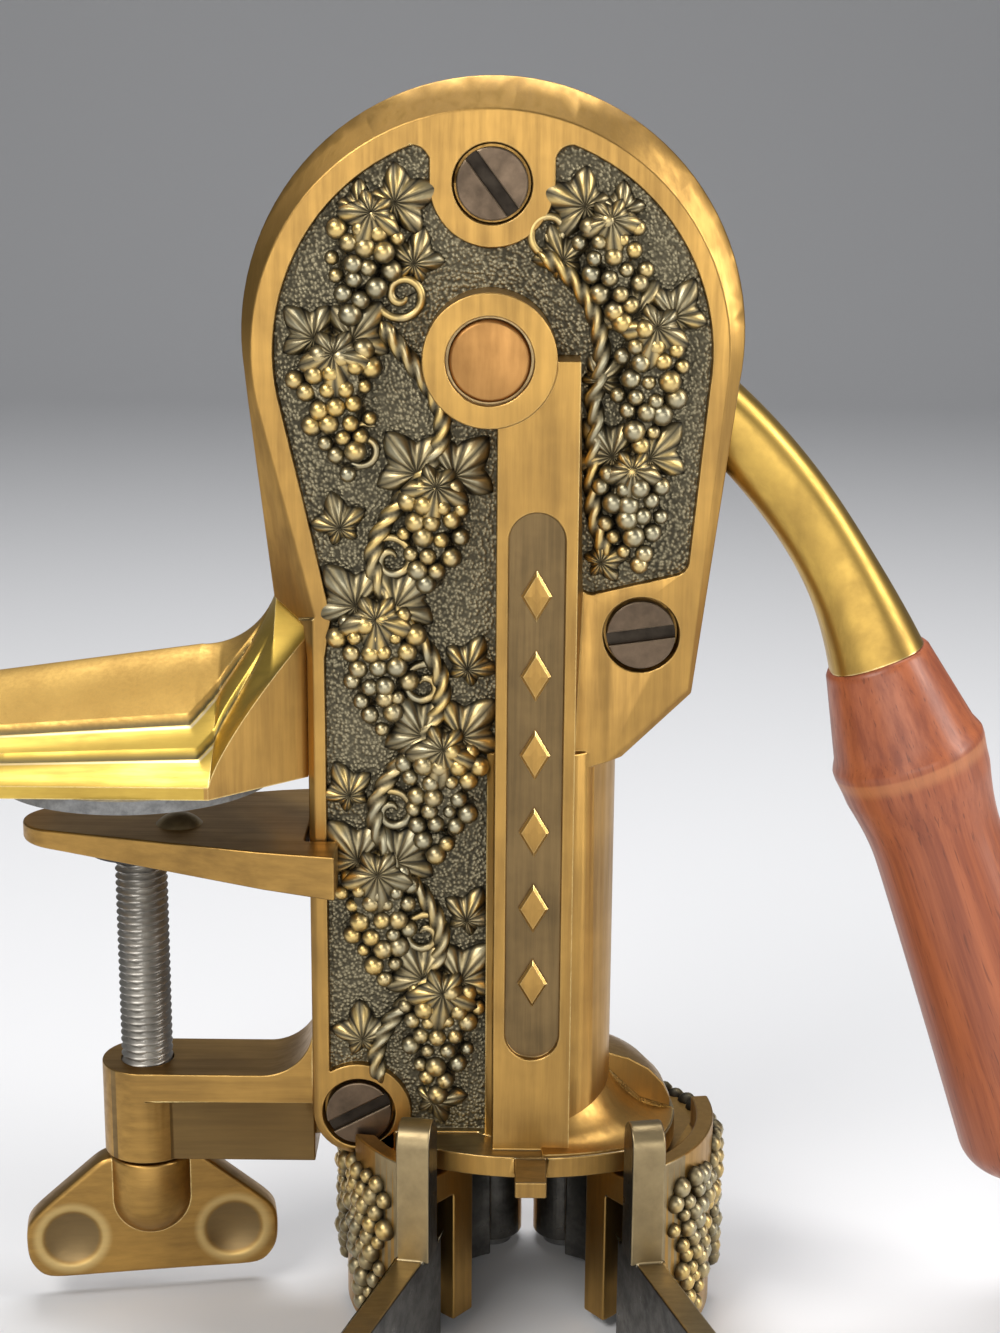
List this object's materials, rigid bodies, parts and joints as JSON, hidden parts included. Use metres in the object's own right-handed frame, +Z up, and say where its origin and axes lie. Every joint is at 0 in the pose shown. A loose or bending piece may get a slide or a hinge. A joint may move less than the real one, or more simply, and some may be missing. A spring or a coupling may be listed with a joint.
{
  "type": "table-mounted wine opener",
  "caption": "Cast bronze wine opener that clamps to a table edge, with a swinging lever, a worm on a carriage and hand-squeezed jaws that hold the bottle's neck.",
  "frame": {"origin": "On the clamp screw's axis, in the plane of the seat pad's underside, where the table's top seats.", "axes": "+Z up, the decorated front faces -Y, the lever and column are at +X, the table comes in from -X."},
  "size_m": [0.263, 0.128, 0.2833],
  "materials": {
    "bronze": "antiqued cast bronze, brushed on the raised faces",
    "shaft": "coppery turned end",
    "dark_steel": "dark brown satin",
    "steel": "plain turned steel",
    "bearing": "turned bearing bronze",
    "wood": "satin reddish-brown hardwood",
    "pad": "grey speckled pad"
  },
  "bodies": {
    "frame": {"front_cover": "bronze", "rear_housing": "bronze", "cover_screws": "dark_steel", "front_bush": "bearing", "rear_bush": "bearing", "guide_nut": "bearing", "guide_pins": "steel", "neck_ring": "dark_steel", "jaw_pins": "steel", "table_arm": "bronze", "seat_pad": "pad", "clamp_bracket": "bronze"},
    "lever": {"lever_shaft": "shaft", "hub_pin": "steel", "lever_arm": "bronze", "drive_pin": "steel", "grip_tang": "steel", "grip": "wood"},
    "carriage": {"front_yoke": "steel", "rear_yoke": "steel", "carriage_block": "steel", "yoke_rivets": "steel", "thrust_washer": "bearing"},
    "worm": {"worm": "steel", "worm_nut": "steel"},
    "left_jaw": {"left_jaw": "bronze"},
    "right_jaw": {"right_jaw": "bronze"},
    "clamp_plate": {"pressure_plate": "bronze", "swivel_cup": "dark_steel", "cup_rivet": "bearing"},
    "clamp_screw": {"clamp_screw": "steel", "wing_knob": "bronze", "knob_pin": "steel"}
  },
  "joints": [
    {"name": "lever_swing", "type": "hinge", "parent": "frame", "child": "lever", "pos_m": [0.0795, 0, 0.0965], "axis": [0, -1, 0], "range_deg": [0, 83]},
    {"name": "carriage_slide", "type": "slide", "parent": "frame", "child": "carriage", "axis": [0, 0, -1], "range_m": [0, 0.0452]},
    {"name": "worm_spin", "type": "hinge", "parent": "carriage", "child": "worm", "pos_m": [0.0898, 0, 0], "axis": [0, 0, -1], "continuous": true},
    {"name": "left_jaw_swing", "type": "hinge", "parent": "frame", "child": "left_jaw", "pos_m": [0.0808, 0.027, -0.1], "axis": [0, 0, 1], "range_deg": [0, 9]},
    {"name": "right_jaw_swing", "type": "hinge", "parent": "frame", "child": "right_jaw", "pos_m": [0.0988, 0.027, -0.1], "axis": [0, 0, -1], "range_deg": [0, 9]},
    {"name": "clamp_slide", "type": "slide", "parent": "frame", "child": "clamp_plate", "axis": [0, 0, 1], "range_m": [-0.04, 0]},
    {"name": "screw_turn", "type": "hinge", "parent": "clamp_plate", "child": "clamp_screw", "pos_m": [0, 0, -0.06], "axis": [0, 0, 1], "continuous": true}
  ],
  "couplings": [
    {"joint": "carriage_slide", "follows": "lever_swing", "m_per_rad": 0.031104},
    {"joint": "worm_spin", "follows": "lever_swing", "ratio": 19.543},
    {"joint": "screw_turn", "follows": "clamp_slide", "rad_per_m": 3590.4}
  ]
}
